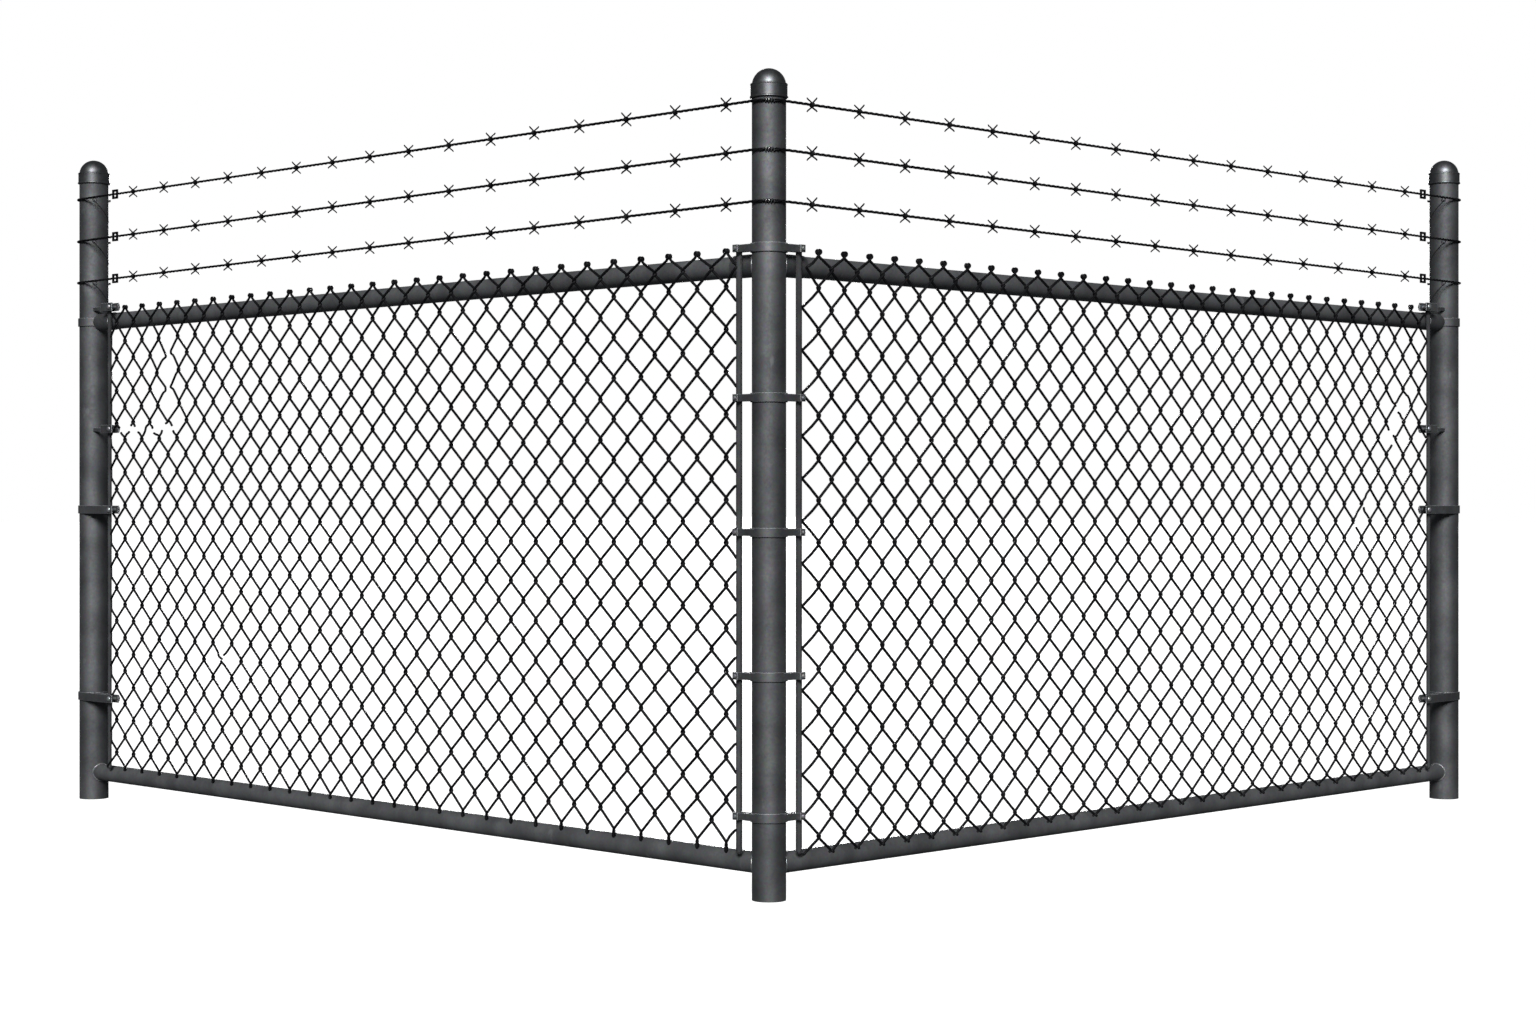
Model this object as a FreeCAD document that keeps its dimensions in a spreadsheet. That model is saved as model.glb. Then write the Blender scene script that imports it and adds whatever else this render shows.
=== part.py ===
import FreeCAD, Part
import Sketcher
import math
import os

# Chain link fence corner with two bays at a right angle and three strands of barbed wire.
# The origin is on the ground at the axis of the corner post, and +Z is up.
# The right bay runs along +X and the left bay along +Y. The outside of the corner is towards -X and -Y.

Vector = FreeCAD.Vector
Rotation = FreeCAD.Rotation
doc = FreeCAD.newDocument("FenceCorner")

DRIVING_SIZES = {
    "bay_length": 2237,
    "seat_clearance": 0.3,
    "corner_post_diameter": 60.3,
    "corner_post_above_rail": 311.2,
    "end_post_diameter": 66.7,
    "end_post_above_rail": 344.7,
    "post_wall": 3,
    "cap_skirt_height": 22,
    "cap_wall": 2,
    "rail_diameter": 38.1,
    "rail_wall": 2,
    "top_rail_height": 1113.3,
    "bottom_rail_height": 62.8,
    "cup_wall": 1.2,
    "cup_socket_depth": 22,
    "corner_cup_reach": 80,
    "end_cup_reach": 92,
    "bar_width": 12.7,
    "bar_thickness": 3.2,
    "bar_over_bottom_rail": 15.2,
    "bar_above_rail": 31,
    "bar_from_corner_post": 49.4,
    "bar_from_end_post": 110,
    "corner_band_height": 16,
    "corner_ear_height": 12.5,
    "corner_ear_beyond_bar": 1.2,
    "end_band_height": 18.5,
    "end_ear_height": 18.5,
    "end_ear_beyond_bar": 20.6,
    "band_thickness": 2.5,
    "corner_band_one": 146,
    "corner_band_two": 392,
    "corner_band_three": 644,
    "corner_band_four": 880,
    "top_band_above_rail": 29,
    "end_band_lower": 240.5,
    "end_band_upper": 676,
    "clip_middle": 862,
    "top_clip_above_rail": 29.7,
    "clip_before_bar": 15,
    "clip_tab_height": 8,
    "wire_width": 3.4,
    "diamond_rows": 14,
    "diamond_columns": 31,
    "fabric_over_bottom_rail": 27.2,
    "fabric_above_rail": 26.7,
    "knuckle_width": 7.4,
    "knuckle_height": 10.4,
    "knuckle_depth": 6,
    "strand_width": 4,
    "wrap_width": 3,
    "barb_pin_width": 2,
    "barb_half_length": 12.5,
    "barb_half_height": 11,
    "barb_count": 16,
    "first_barb": 74,
    "last_barb_from_end": 228.4,
    "right_barb_drift": -34,
    "left_barb_drift": 10,
    "top_strand_below_corner": 27.5,
    "top_strand_below_end": 58,
    "middle_strand_below_corner": 112.5,
    "middle_strand_below_end": 156,
    "lower_strand_below_corner": 202.5,
    "lower_strand_below_end": 252.5,
    "clamp_from_post": 152,
    "clamp_length": 18,
    "clamp_height": 15,
    "clamp_depth": 12,
}

# Heights that go with the rails and the posts, and spacings that fill a length.
LINKED_SIZES = {
    "corner_post_height": "=top_rail_height + corner_post_above_rail",
    "end_post_height": "=top_rail_height + end_post_above_rail",
    "bar_bottom": "=bottom_rail_height + bar_over_bottom_rail",
    "bar_top": "=top_rail_height + bar_above_rail",
    "corner_band_five": "=top_rail_height + top_band_above_rail",
    "clip_top": "=top_rail_height + top_clip_above_rail",
    "fabric_bottom": "=bottom_rail_height + fabric_over_bottom_rail",
    "diamond_height": "=(top_rail_height + fabric_above_rail - fabric_bottom) / diamond_rows",
    "barb_pitch": "=(bay_length - first_barb - last_barb_from_end) / (barb_count - 1)",
    "top_strand_at_corner": "=corner_post_height - top_strand_below_corner",
    "top_strand_at_end": "=end_post_height - top_strand_below_end",
    "middle_strand_at_corner": "=corner_post_height - middle_strand_below_corner",
    "middle_strand_at_end": "=end_post_height - middle_strand_below_end",
    "lower_strand_at_corner": "=corner_post_height - lower_strand_below_corner",
    "lower_strand_at_end": "=end_post_height - lower_strand_below_end",
}

sheet = doc.addObject("Spreadsheet::Sheet", "Dimensions")
for row, (alias, number) in enumerate({**DRIVING_SIZES, **LINKED_SIZES}.items(), start=1):
    sheet.set(f"A{row}", alias)
    sheet.set(f"B{row}", str(number))
    sheet.setAlias(f"B{row}", alias)
doc.recompute()

CORNER_RADIUS = "Dimensions.corner_post_diameter / 2"
END_RADIUS = "Dimensions.end_post_diameter / 2"
POST_RADIUS = {"corner": CORNER_RADIUS, "end": END_RADIUS}
RAIL_RADIUS = "Dimensions.rail_diameter / 2"
CLEARANCE = "Dimensions.seat_clearance"
BAND = "Dimensions.band_thickness"
# Half the depth of the loops that the fabric makes round a tension bar.
LOOP_HALF = f"(Dimensions.bar_thickness / 2 + {CLEARANCE} + Dimensions.wire_width)"
# The fabric's loops are flush with the front of the corner post, where the bands' front ears cover them.
FABRIC_OFFSET = f"({CORNER_RADIUS} - {LOOP_HALF})"
BAR_FROM_CORNER = "Dimensions.bar_from_corner_post"
BAR_FROM_END = "(Dimensions.bay_length - Dimensions.bar_from_end_post)"
SIDES = ("right", "left")
finished = []


def size(alias):
    return float(sheet.get(alias))


def bind(obj, **expressions):
    for name, expression in expressions.items():
        obj.setExpression(name.replace("__", "."), expression)
    return obj


def finish(obj, label):
    obj.Label = label
    finished.append(obj)
    return obj


def bay_base(side, run, out, height):
    """Expressions of a point given along a bay's run, outwards from its middle plane, and in height."""
    if side == "right":
        return {"Placement__Base__x": run, "Placement__Base__y": f"-({out})", "Placement__Base__z": height}
    return {"Placement__Base__x": f"-({out})", "Placement__Base__y": run, "Placement__Base__z": height}


def run_rotation(side):
    """Turns a cylinder's own +Z to the direction of a bay's run."""
    if side == "right":
        return Rotation(Vector(0, 1, 0), 90)
    return Rotation(Vector(1, 0, 0), -90)


def bay_box(side, name, run, out, height):
    """A box between two runs, two distances outwards and two heights, each a pair of expressions."""
    box = doc.addObject("Part::Box", name)
    run_length = f"{run[1]} - ({run[0]})"
    out_length = f"{out[1]} - ({out[0]})"
    bind(box, Height=f"{height[1]} - ({height[0]})")
    if side == "right":
        bind(box, Length=run_length, Width=out_length)
    else:
        bind(box, Length=out_length, Width=run_length)
    return bind(box, **bay_base(side, run[0], out[1], height[0]))


def upright(name, side, run, radius, low, high):
    """A vertical cylinder on a bay's middle plane."""
    cylinder = doc.addObject("Part::Cylinder", name)
    bind(cylinder, Radius=radius, Height=f"{high} - ({low})")
    return bind(cylinder, **bay_base(side, run, "0", low))


def along_run(name, side, radius, start, end, height):
    """A cylinder along a bay's run at a height."""
    cylinder = doc.addObject("Part::Cylinder", name)
    cylinder.Placement.Rotation = run_rotation(side)
    bind(cylinder, Radius=radius, Height=f"{end} - ({start})")
    return bind(cylinder, **bay_base(side, start, "0", height))


def cut(name, base, tool):
    obj = doc.addObject("Part::Cut", name)
    obj.Base = base
    obj.Tool = tool
    return obj


def fuse(name, shapes):
    obj = doc.addObject("Part::MultiFuse", name)
    obj.Shapes = shapes
    return obj


def origin_plane(body, role):
    return next(feature for feature in body.Origin.OriginFeatures if feature.Role == role)


def new_sketch(body, name, role):
    sketch = body.newObject("Sketcher::SketchObject", name)
    sketch.AttachmentSupport = (origin_plane(body, role), [""])
    sketch.MapMode = "FlatFace"
    return sketch


def make_post(label, diameter, height, side, run):
    """A round tube that stands on the ground."""
    body = doc.addObject("PartDesign::Body", label)
    sketch = new_sketch(body, f"{label}_section", "XY_Plane")
    outer = size(diameter) / 2
    for name, start in (("outer", outer), ("inner", outer - size("post_wall"))):
        index = sketch.addGeometry(Part.Circle(Vector(0, 0, 0), Vector(0, 0, 1), start))
        sketch.addConstraint(Sketcher.Constraint("Coincident", index, 3, -1, 1))
        radius = sketch.addConstraint(Sketcher.Constraint("Radius", index, start))
        sketch.renameConstraint(radius, name)
    bind(sketch, Constraints__outer=f"Dimensions.{diameter} / 2",
         Constraints__inner=f"Dimensions.{diameter} / 2 - Dimensions.post_wall")
    pad = body.newObject("PartDesign::Pad", f"{label}_tube")
    pad.Profile = sketch
    bind(pad, Length=f"Dimensions.{height}")
    bind(body, **bay_base(side, run, "0", "0"))
    finish(body, label)


def make_cap(label, diameter, height, side, run):
    """A domed cap whose skirt goes over the top of a post and whose shoulder sits on the tube's end."""
    body = doc.addObject("PartDesign::Body", label)
    sketch = new_sketch(body, f"{label}_profile", "XZ_Plane")

    def line(start, end):
        return sketch.addGeometry(Part.LineSegment(Vector(*start, 0), Vector(*end, 0)))

    wall = size("cap_wall")
    rise = size("cap_skirt_height")
    dome = size(diameter) / 2
    inside = dome - wall
    bore = dome + size("seat_clearance")
    skirt = bore + wall
    quarter = math.pi / 2
    rim = line((bore, 0), (skirt, 0))
    outside = line((skirt, 0), (skirt, rise))
    step = line((skirt, rise), (dome, rise))
    centre = Vector(0, rise, 0)
    up = Vector(0, 0, 1)
    outer_dome = sketch.addGeometry(Part.ArcOfCircle(Part.Circle(centre, up, dome), 0, quarter))
    axis = line((0, rise + dome), (0, rise + inside))
    inner_dome = sketch.addGeometry(Part.ArcOfCircle(Part.Circle(centre, up, inside), 0, quarter))
    throat = line((inside, rise), (inside, rise - wall))
    shoulder = line((inside, rise - wall), (bore, rise - wall))
    socket = line((bore, rise - wall), (bore, 0))
    joins = [(rim, 2, outside, 1), (outside, 2, step, 1), (step, 2, outer_dome, 1), (outer_dome, 2, axis, 1),
             (axis, 2, inner_dome, 2), (inner_dome, 1, throat, 1), (throat, 2, shoulder, 1),
             (shoulder, 2, socket, 1), (socket, 2, rim, 1)]
    for first, first_end, second, second_end in joins:
        sketch.addConstraint(Sketcher.Constraint("Coincident", first, first_end, second, second_end))
    for flat in (rim, step, shoulder):
        sketch.addConstraint(Sketcher.Constraint("Horizontal", flat))
    for tall in (outside, axis, throat, socket):
        sketch.addConstraint(Sketcher.Constraint("Vertical", tall))
    sketch.addConstraint(Sketcher.Constraint("PointOnObject", outer_dome, 3, -2))
    sketch.addConstraint(Sketcher.Constraint("Coincident", inner_dome, 3, outer_dome, 3))
    sketch.addConstraint(Sketcher.Constraint("PointOnObject", axis, 1, -2))
    sketch.addConstraint(Sketcher.Constraint("PointOnObject", rim, 1, -1))
    measures = {
        "bore": (Sketcher.Constraint("DistanceX", -1, 1, rim, 1, bore),
                 f"Dimensions.{diameter} / 2 + {CLEARANCE}"),
        "skirt": (Sketcher.Constraint("DistanceX", rim, 1, rim, 2, wall), "Dimensions.cap_wall"),
        "dome": (Sketcher.Constraint("Radius", outer_dome, dome), f"Dimensions.{diameter} / 2"),
        "shell": (Sketcher.Constraint("Radius", inner_dome, inside),
                  f"Dimensions.{diameter} / 2 - Dimensions.cap_wall"),
        "rise": (Sketcher.Constraint("DistanceY", outside, 1, outside, 2, rise), "Dimensions.cap_skirt_height"),
        "seat": (Sketcher.Constraint("DistanceY", socket, 2, socket, 1, rise - wall),
                 "Dimensions.cap_skirt_height - Dimensions.cap_wall"),
        "base": (Sketcher.Constraint("DistanceY", -1, 1, outer_dome, 3, rise), "Dimensions.cap_skirt_height"),
        "lining": (Sketcher.Constraint("DistanceY", -1, 1, inner_dome, 1, rise),
                   "Dimensions.cap_skirt_height"),
    }
    for name, (constraint, expression) in measures.items():
        sketch.renameConstraint(sketch.addConstraint(constraint), name)
        sketch.setExpression(f"Constraints.{name}", expression)
    turned = body.newObject("PartDesign::Revolution", f"{label}_turned")
    turned.Profile = sketch
    turned.ReferenceAxis = (sketch, ["V_Axis"])
    turned.Angle = 360
    bind(body, **bay_base(side, run, "0",
                          f"Dimensions.{height} - Dimensions.cap_skirt_height + Dimensions.cap_wall"))
    finish(body, label)


def make_tube(label, side, start, end, height):
    """A length of rail."""
    outer = along_run(f"{label}_outer", side, RAIL_RADIUS, start, end, height)
    inner = along_run(f"{label}_inner", side, f"{RAIL_RADIUS} - Dimensions.rail_wall", start, end, height)
    return cut(f"{label}_tube", outer, inner)


def make_top_rail(side):
    """A top rail whose ends stop at the bottom of the cups' sockets."""
    start = f"Dimensions.corner_cup_reach - Dimensions.cup_socket_depth + {CLEARANCE}"
    end = (f"Dimensions.bay_length - Dimensions.end_cup_reach + Dimensions.cup_socket_depth - {CLEARANCE}")
    finish(make_tube(f"{side}_top_rail", side, start, end, "Dimensions.top_rail_height"), f"{side}_top_rail")


def make_bottom_rail(side):
    """A bottom rail with both ends coped to the posts."""
    label = f"{side}_bottom_rail"
    tube = make_tube(label, side, "0", "Dimensions.bay_length", "Dimensions.bottom_rail_height")
    posts = fuse(f"{label}_posts", [
        upright(f"{label}_corner", side, "0", f"{CORNER_RADIUS} + {CLEARANCE}", "0",
                "Dimensions.bottom_rail_height * 2"),
        upright(f"{label}_end", side, "Dimensions.bay_length", f"{END_RADIUS} + {CLEARANCE}", "0",
                "Dimensions.bottom_rail_height * 2")])
    finish(cut(f"{label}_coped", tube, posts), label)


def make_cup(side, place):
    """A rail end cup: a socket for the rail, with a closed end coped to the post or to its brace band."""
    label = f"{side}_rail_cup_at_{place}"
    height = "Dimensions.top_rail_height"
    cup_radius = f"{RAIL_RADIUS} + {CLEARANCE} + Dimensions.cup_wall"
    if place == "corner":
        post_run, rim = "0", "Dimensions.corner_cup_reach"
        socket = f"{rim} - Dimensions.cup_socket_depth"
        seat_radius = f"{CORNER_RADIUS} + {CLEARANCE}"
    else:
        post_run, rim = "Dimensions.bay_length", "Dimensions.bay_length - Dimensions.end_cup_reach"
        socket = f"{rim} + Dimensions.cup_socket_depth"
        seat_radius = f"{END_RADIUS} + 2 * {CLEARANCE} + {BAND}"
    ends = (post_run, rim) if place == "corner" else (rim, post_run)
    bore = (socket, rim) if place == "corner" else (rim, socket)
    body = along_run(f"{label}_body", side, cup_radius, ends[0], ends[1], height)
    hole = along_run(f"{label}_socket", side, f"{RAIL_RADIUS} + {CLEARANCE}", bore[0], bore[1], height)
    post = upright(f"{label}_post", side, post_run, seat_radius, "0", f"{height} * 2")
    finish(cut(label, cut(f"{label}_open", body, hole), post), label)


def make_tension_bar(side, place):
    """A flat bar with rounded corners at its ends, threaded through the loops of the fabric."""
    label = f"{side}_tension_bar_at_{place}"
    middle = BAR_FROM_CORNER if place == "corner" else BAR_FROM_END
    half = "Dimensions.bar_width / 2"
    thin = "Dimensions.bar_thickness / 2"
    flat = bay_box(side, f"{label}_flat", (f"{middle} - {half}", f"{middle} + {half}"),
                   (f"{FABRIC_OFFSET} - {thin}", f"{FABRIC_OFFSET} + {thin}"),
                   (f"Dimensions.bar_bottom + {half}", f"Dimensions.bar_top - {half}"))
    ends = []
    for name, height in (("foot", "Dimensions.bar_bottom"), ("head", "Dimensions.bar_top - Dimensions.bar_width")):
        disc = doc.addObject("Part::Cylinder", f"{label}_{name}")
        turn = Rotation(Vector(1, 0, 0), 90) if side == "right" else Rotation(Vector(0, 1, 0), -90)
        disc.Placement.Rotation = turn
        bind(disc, Radius=half, Height="Dimensions.bar_thickness")
        bind(disc, **bay_base(side, middle, f"{FABRIC_OFFSET} - {thin}", f"{height} + {half}"))
        ends.append(disc)
    finish(fuse(label, [flat] + ends), label)


def make_ring(label, side, run, place, height):
    """A strap round a post, centred on a height."""
    low = f"{height} - Dimensions.{place}_band_height / 2"
    high = f"{height} + Dimensions.{place}_band_height / 2"
    post_radius = POST_RADIUS[place]
    outer = upright(f"{label}_ring_outer", side, run, f"{post_radius} + {CLEARANCE} + {BAND}", low, high)
    inner = upright(f"{label}_ring_inner", side, run, f"{post_radius} + {CLEARANCE}", low, high)
    return cut(f"{label}_ring", outer, inner)


def ear_outs(post_radius):
    """Distances outwards of the ears in front of and behind the fabric and its bar."""
    front = (f"{post_radius} + {CLEARANCE}", f"{post_radius} + {CLEARANCE} + {BAND}")
    back_face = f"{FABRIC_OFFSET} - {LOOP_HALF} - {CLEARANCE}"
    return front, (f"{back_face} - {BAND}", back_face)


def make_ears(label, side, place, height):
    """Two ears from a post's strap, in front of and behind the tension bar."""
    heights = (f"{height} - Dimensions.{place}_ear_height / 2", f"{height} + Dimensions.{place}_ear_height / 2")
    reach = f"(Dimensions.bar_width / 2 + Dimensions.{place}_ear_beyond_bar)"
    post_radius = POST_RADIUS[place]
    front, back = ear_outs(post_radius)
    # The back ear starts inside the strap, clear of the post.
    root = f"sqrt(({post_radius} + {CLEARANCE})^2 - ({back[0]})^2)"
    if place == "corner":
        front_run = ("0", f"{BAR_FROM_CORNER} + {reach}")
        back_run = (root, f"{BAR_FROM_CORNER} + {reach}")
    else:
        front_run = (f"{BAR_FROM_END} - {reach}", "Dimensions.bay_length")
        back_run = (f"{BAR_FROM_END} - {reach}", f"Dimensions.bay_length - {root}")
    return [bay_box(side, f"{label}_{side}_front_ear", front_run, front, heights),
            bay_box(side, f"{label}_{side}_back_ear", back_run, back, heights)]


def make_corner_band(number):
    """A strap round the corner post with ears along both bays."""
    label = f"corner_band_{number}"
    height = f"Dimensions.{label}"
    pieces = [make_ring(label, "right", "0", "corner", height)]
    for side in SIDES:
        pieces += make_ears(label, side, "corner", height)
    finish(fuse(f"{label}_strap", pieces), label)


def make_end_band(side, level):
    """A strap round an end post with ears along its bay."""
    label = f"{side}_end_band_{level}"
    height = f"Dimensions.end_band_{level}"
    pieces = [make_ring(label, side, "Dimensions.bay_length", "end", height)]
    pieces += make_ears(label, side, "end", height)
    finish(fuse(f"{label}_strap", pieces), label)


def make_brace_band(side):
    """The strap round an end post that the top rail's cup is seated on."""
    label = f"{side}_brace_band"
    ring = make_ring(label, side, "Dimensions.bay_length", "end", "Dimensions.top_rail_height")
    finish(ring, label)


def make_bar_clip(side, level):
    """A clip folded round the tension bar, with a tab that reaches the end post."""
    label = f"{side}_bar_clip_{level}"
    height = f"Dimensions.clip_{level}"
    heights = (f"{height} - Dimensions.end_band_height / 2", f"{height} + Dimensions.end_band_height / 2")
    tab_heights = (f"{height} - Dimensions.clip_tab_height / 2", f"{height} + Dimensions.clip_tab_height / 2")
    reach = "(Dimensions.bar_width / 2 + Dimensions.end_ear_beyond_bar)"
    front, back = ear_outs(END_RADIUS)
    far = f"{BAR_FROM_END} - {reach}"
    fold = f"{BAR_FROM_END} + Dimensions.bar_width / 2 + Dimensions.clip_before_bar"
    leaves = [bay_box(side, f"{label}_front", (far, fold), front, heights),
              bay_box(side, f"{label}_fold", (f"{fold} - {BAND}", fold), (back[0], front[1]), heights),
              bay_box(side, f"{label}_back", (far, fold), back, heights),
              bay_box(side, f"{label}_tab", (f"{fold} - {BAND}", "Dimensions.bay_length"), back, tab_heights)]
    post = upright(f"{label}_post", side, "Dimensions.bay_length", f"{END_RADIUS} + {CLEARANCE}",
                   heights[0], heights[1])
    finish(cut(label, fuse(f"{label}_folded", leaves), post), label)


def bay_vector(side, run, out, height):
    if side == "right":
        return Vector(run, -out, height)
    return Vector(-out, run, height)


def square_bar(side, start, end, width):
    """A square bar between two points, each given as run, out and height."""
    first = bay_vector(side, *start)
    last = bay_vector(side, *end)
    axis = last - first
    across = bay_vector(side, 0, 1, 0)
    over = axis.cross(across).normalize() * (width / 2)
    across = over.cross(axis).normalize() * (width / 2)
    corners = [first + over + across, first + over - across, first - over - across, first - over + across]
    return Part.Face(Part.makePolygon(corners + corners[:1])).extrude(axis)


def block(side, run, out, height):
    """A box from pairs of numbers."""
    low = bay_vector(side, run[0], out[0], height[0])
    high = bay_vector(side, run[1], out[1], height[1])
    corner = Vector(min(low.x, high.x), min(low.y, high.y), height[0])
    return Part.makeBox(abs(high.x - low.x), abs(high.y - low.y), height[1] - height[0], corner)


def fabric_ends():
    """Runs of the first and last columns of crossings, beside the two tension bars."""
    bar_edge = size("bar_width") / 2 + size("seat_clearance")
    beside = bar_edge + size("wire_width") / 2
    return (size("bar_from_corner_post") + beside,
            size("bay_length") - size("bar_from_end_post") - beside)


def fabric_half(half):
    """Half of the right bay's chain link: front and back wires joined at every crossing, with knuckles at
    the top and bottom edges and loops round the tension bar."""
    width = size("wire_width")
    clear = size("seat_clearance")
    deep = size("bar_thickness") / 2 + clear
    offset = size("corner_post_diameter") / 2 - deep - width
    bottom = size("fabric_bottom")
    rows = int(size("diamond_rows"))
    columns = int(size("diamond_columns"))
    pitch_up = size("diamond_height")
    top = bottom + rows * pitch_up
    first, last = fabric_ends()
    pitch = (last - first) / columns
    # The halves meet between two columns of crossings.
    middle = first + (columns // 2 + 0.25) * pitch
    if half == "corner":
        low, high = first - width / 4, middle - clear / 2
    else:
        low, high = middle + clear / 2, last + width / 4
    window = block("right", (low, high), (offset - 2 * width, offset + 2 * width), (bottom, top))
    overrun = pitch_up / 4
    lean = pitch / pitch_up
    wires = []
    for number in range(-rows - 1, columns + rows + 1):
        foot = first + (number + 0.5) * pitch
        for direction, out in ((1, offset + width / 2), (-1, offset - width / 2)):
            start = (foot - direction * overrun * lean, out, bottom - overrun)
            end = (foot + direction * (rows * pitch_up + overrun) * lean, out, top + overrun)
            if max(start[0], end[0]) > low and min(start[0], end[0]) < high:
                wires.append(square_bar("right", start, end, width))
    layers = Part.makeCompound(wires).common(window)
    ends = []
    reach = size("knuckle_width") / 2
    tall = size("knuckle_height") / 2
    thick = size("knuckle_depth") / 2
    for number in range(columns):
        run = first + (number + 0.5) * pitch
        if low < run < high:
            for height in (bottom, top):
                ends.append(block("right", (run - reach, run + reach), (offset - thick, offset + thick),
                                  (height - tall, height + tall)))
    bar_half = size("bar_width") / 2 + clear
    outward, edge = (-1, first) if half == "corner" else (1, last)
    bar = edge + outward * (bar_half + width / 2)
    loop_runs = sorted((bar + outward * (bar_half + width), edge - outward * width / 2))
    for row in range(rows):
        height = bottom + (row + 0.5) * pitch_up
        # The row beside the top rail has no loop, since the rail and its cup are close behind the bar.
        if abs(height - size("top_rail_height")) < size("rail_diameter") / 2:
            continue
        heights = (height - width / 2, height + width / 2)
        loop = block("right", loop_runs, (offset - deep - width, offset + deep + width), heights)
        ends.append(loop.cut(block("right", (bar - bar_half, bar + bar_half), (offset - deep, offset + deep),
                                   heights)))
    return layers.Solids[0].multiFuse(layers.Solids[1:] + ends).removeSplitter()


def make_fabrics():
    """Both bays' chain link. The left bay's is the right bay's turned round, so both lean the same way."""
    opposite = {"corner": "end", "end": "corner"}
    turned = FreeCAD.Placement(Vector(0, sum(fabric_ends()), 0), Rotation(Vector(0, 0, 1), -90))
    for half in opposite:
        shape = fabric_half(half)
        labels = (f"right_fabric_{half}_half", f"left_fabric_{opposite[half]}_half")
        for label, placement in zip(labels, (FreeCAD.Placement(), turned)):
            fabric = doc.addObject("Part::Feature", label)
            fabric.Shape = shape
            fabric.Placement = placement
            finish(fabric, label)


def sector(side, run, height, radius, width, first_angle, last_angle):
    """Part of a flat ring of square section round a post, between two angles from the outward direction
    towards the run. The radius is that of the section's middle."""
    inner = radius - width / 2
    axis = bay_vector(side, run, 0, height - width / 2)
    start = (bay_vector(side, 0, 1, 0) * math.cos(first_angle)
             + bay_vector(side, 1, 0, 0) * math.sin(first_angle))
    up = Vector(0, 0, 1)
    inside = axis + start * inner
    outside = axis + start * (inner + width)
    profile = Part.Face(Part.makePolygon([inside, outside, outside + up * width, inside + up * width, inside]))
    turn = 1 if side == "right" else -1
    return profile.revolve(axis, up, math.degrees(last_angle - first_angle) * turn)


def make_strand(side, level):
    """A strand of barbed wire from the front of the corner post to the front of the end post, and the wrap
    round the end post that lies under it."""
    width = size("strand_width")
    clear = size("seat_clearance")
    corner_inner = size("corner_post_diameter") / 2 + clear
    end_inner = size("end_post_diameter") / 2 + clear
    length = size("bay_length")
    start = (0, corner_inner + width / 2, size(f"{level}_strand_at_corner"))
    end = (length, end_inner + width / 2, size(f"{level}_strand_at_end"))
    # The two bays' strands meet on the corner post, halfway round its outer side.
    meeting = math.pi / 4 - clear / 2 / corner_inner
    wrap = size("wrap_width")
    pieces = [sector(side, 0, start[2], start[1], wrap, -meeting, 0)]
    wrap_height = end[2] - width / 2 - clear - wrap / 2
    pin = size("barb_pin_width")
    reach = size("barb_half_length")
    rise = size("barb_half_height")
    barbs = int(size("barb_count"))
    for number in range(barbs):
        # The barbs are a little off an even spacing in the middle of the bay.
        drift = size(f"{side}_barb_drift") * math.sin(math.pi * number / (barbs - 1))
        run = size("first_barb") + number * size("barb_pitch") + drift
        share = run / length
        out = start[1] + (end[1] - start[1]) * share
        height = start[2] + (end[2] - start[2]) * share
        for lean in (1, -1):
            # Each pin is let into its face of the strand by a third of its width.
            pin_out = out + lean * (width / 2 + pin / 6)
            pieces.append(square_bar(side, (run - reach, pin_out, height - lean * rise),
                                     (run + reach, pin_out, height + lean * rise), pin))
    strand = doc.addObject("Part::Feature", f"{side}_barbed_wire_{level}")
    wire = square_bar(side, start, end, width).multiFuse(pieces).removeSplitter()
    tie = sector(side, length, wrap_height, end[1], wrap, 0, 2 * math.pi)
    strand.Shape = Part.makeCompound(wire.Solids + [tie])
    finish(strand, f"{side}_barbed_wire_{level}")


def make_clamp(side, level):
    """A square clamp on a strand beside the end post."""
    label = f"{side}_wire_clamp_{level}"
    share = "((Dimensions.bay_length - Dimensions.clamp_from_post) / Dimensions.bay_length)"
    half_strand = "Dimensions.strand_width / 2"
    at_corner = f"({CORNER_RADIUS} + {CLEARANCE} + {half_strand})"
    at_end = f"({END_RADIUS} + {CLEARANCE} + {half_strand})"
    out = f"({at_corner} + ({at_end} - {at_corner}) * {share})"
    low, high = f"Dimensions.{level}_strand_at_corner", f"Dimensions.{level}_strand_at_end"
    height = f"({low} + ({high} - {low}) * {share})"
    run = "(Dimensions.bay_length - Dimensions.clamp_from_post)"
    spans = []
    for middle, measure in ((run, "clamp_length"), (out, "clamp_depth"), (height, "clamp_height")):
        spans.append((f"{middle} - Dimensions.{measure} / 2", f"{middle} + Dimensions.{measure} / 2"))
    hole = f"({half_strand} + {CLEARANCE})"
    body = bay_box(side, f"{label}_body", *spans)
    channel = bay_box(side, f"{label}_channel", spans[0], (f"{out} - {hole}", f"{out} + {hole}"),
                      (f"{height} - {hole}", f"{height} + {hole}"))
    return cut(label, body, channel)


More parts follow.
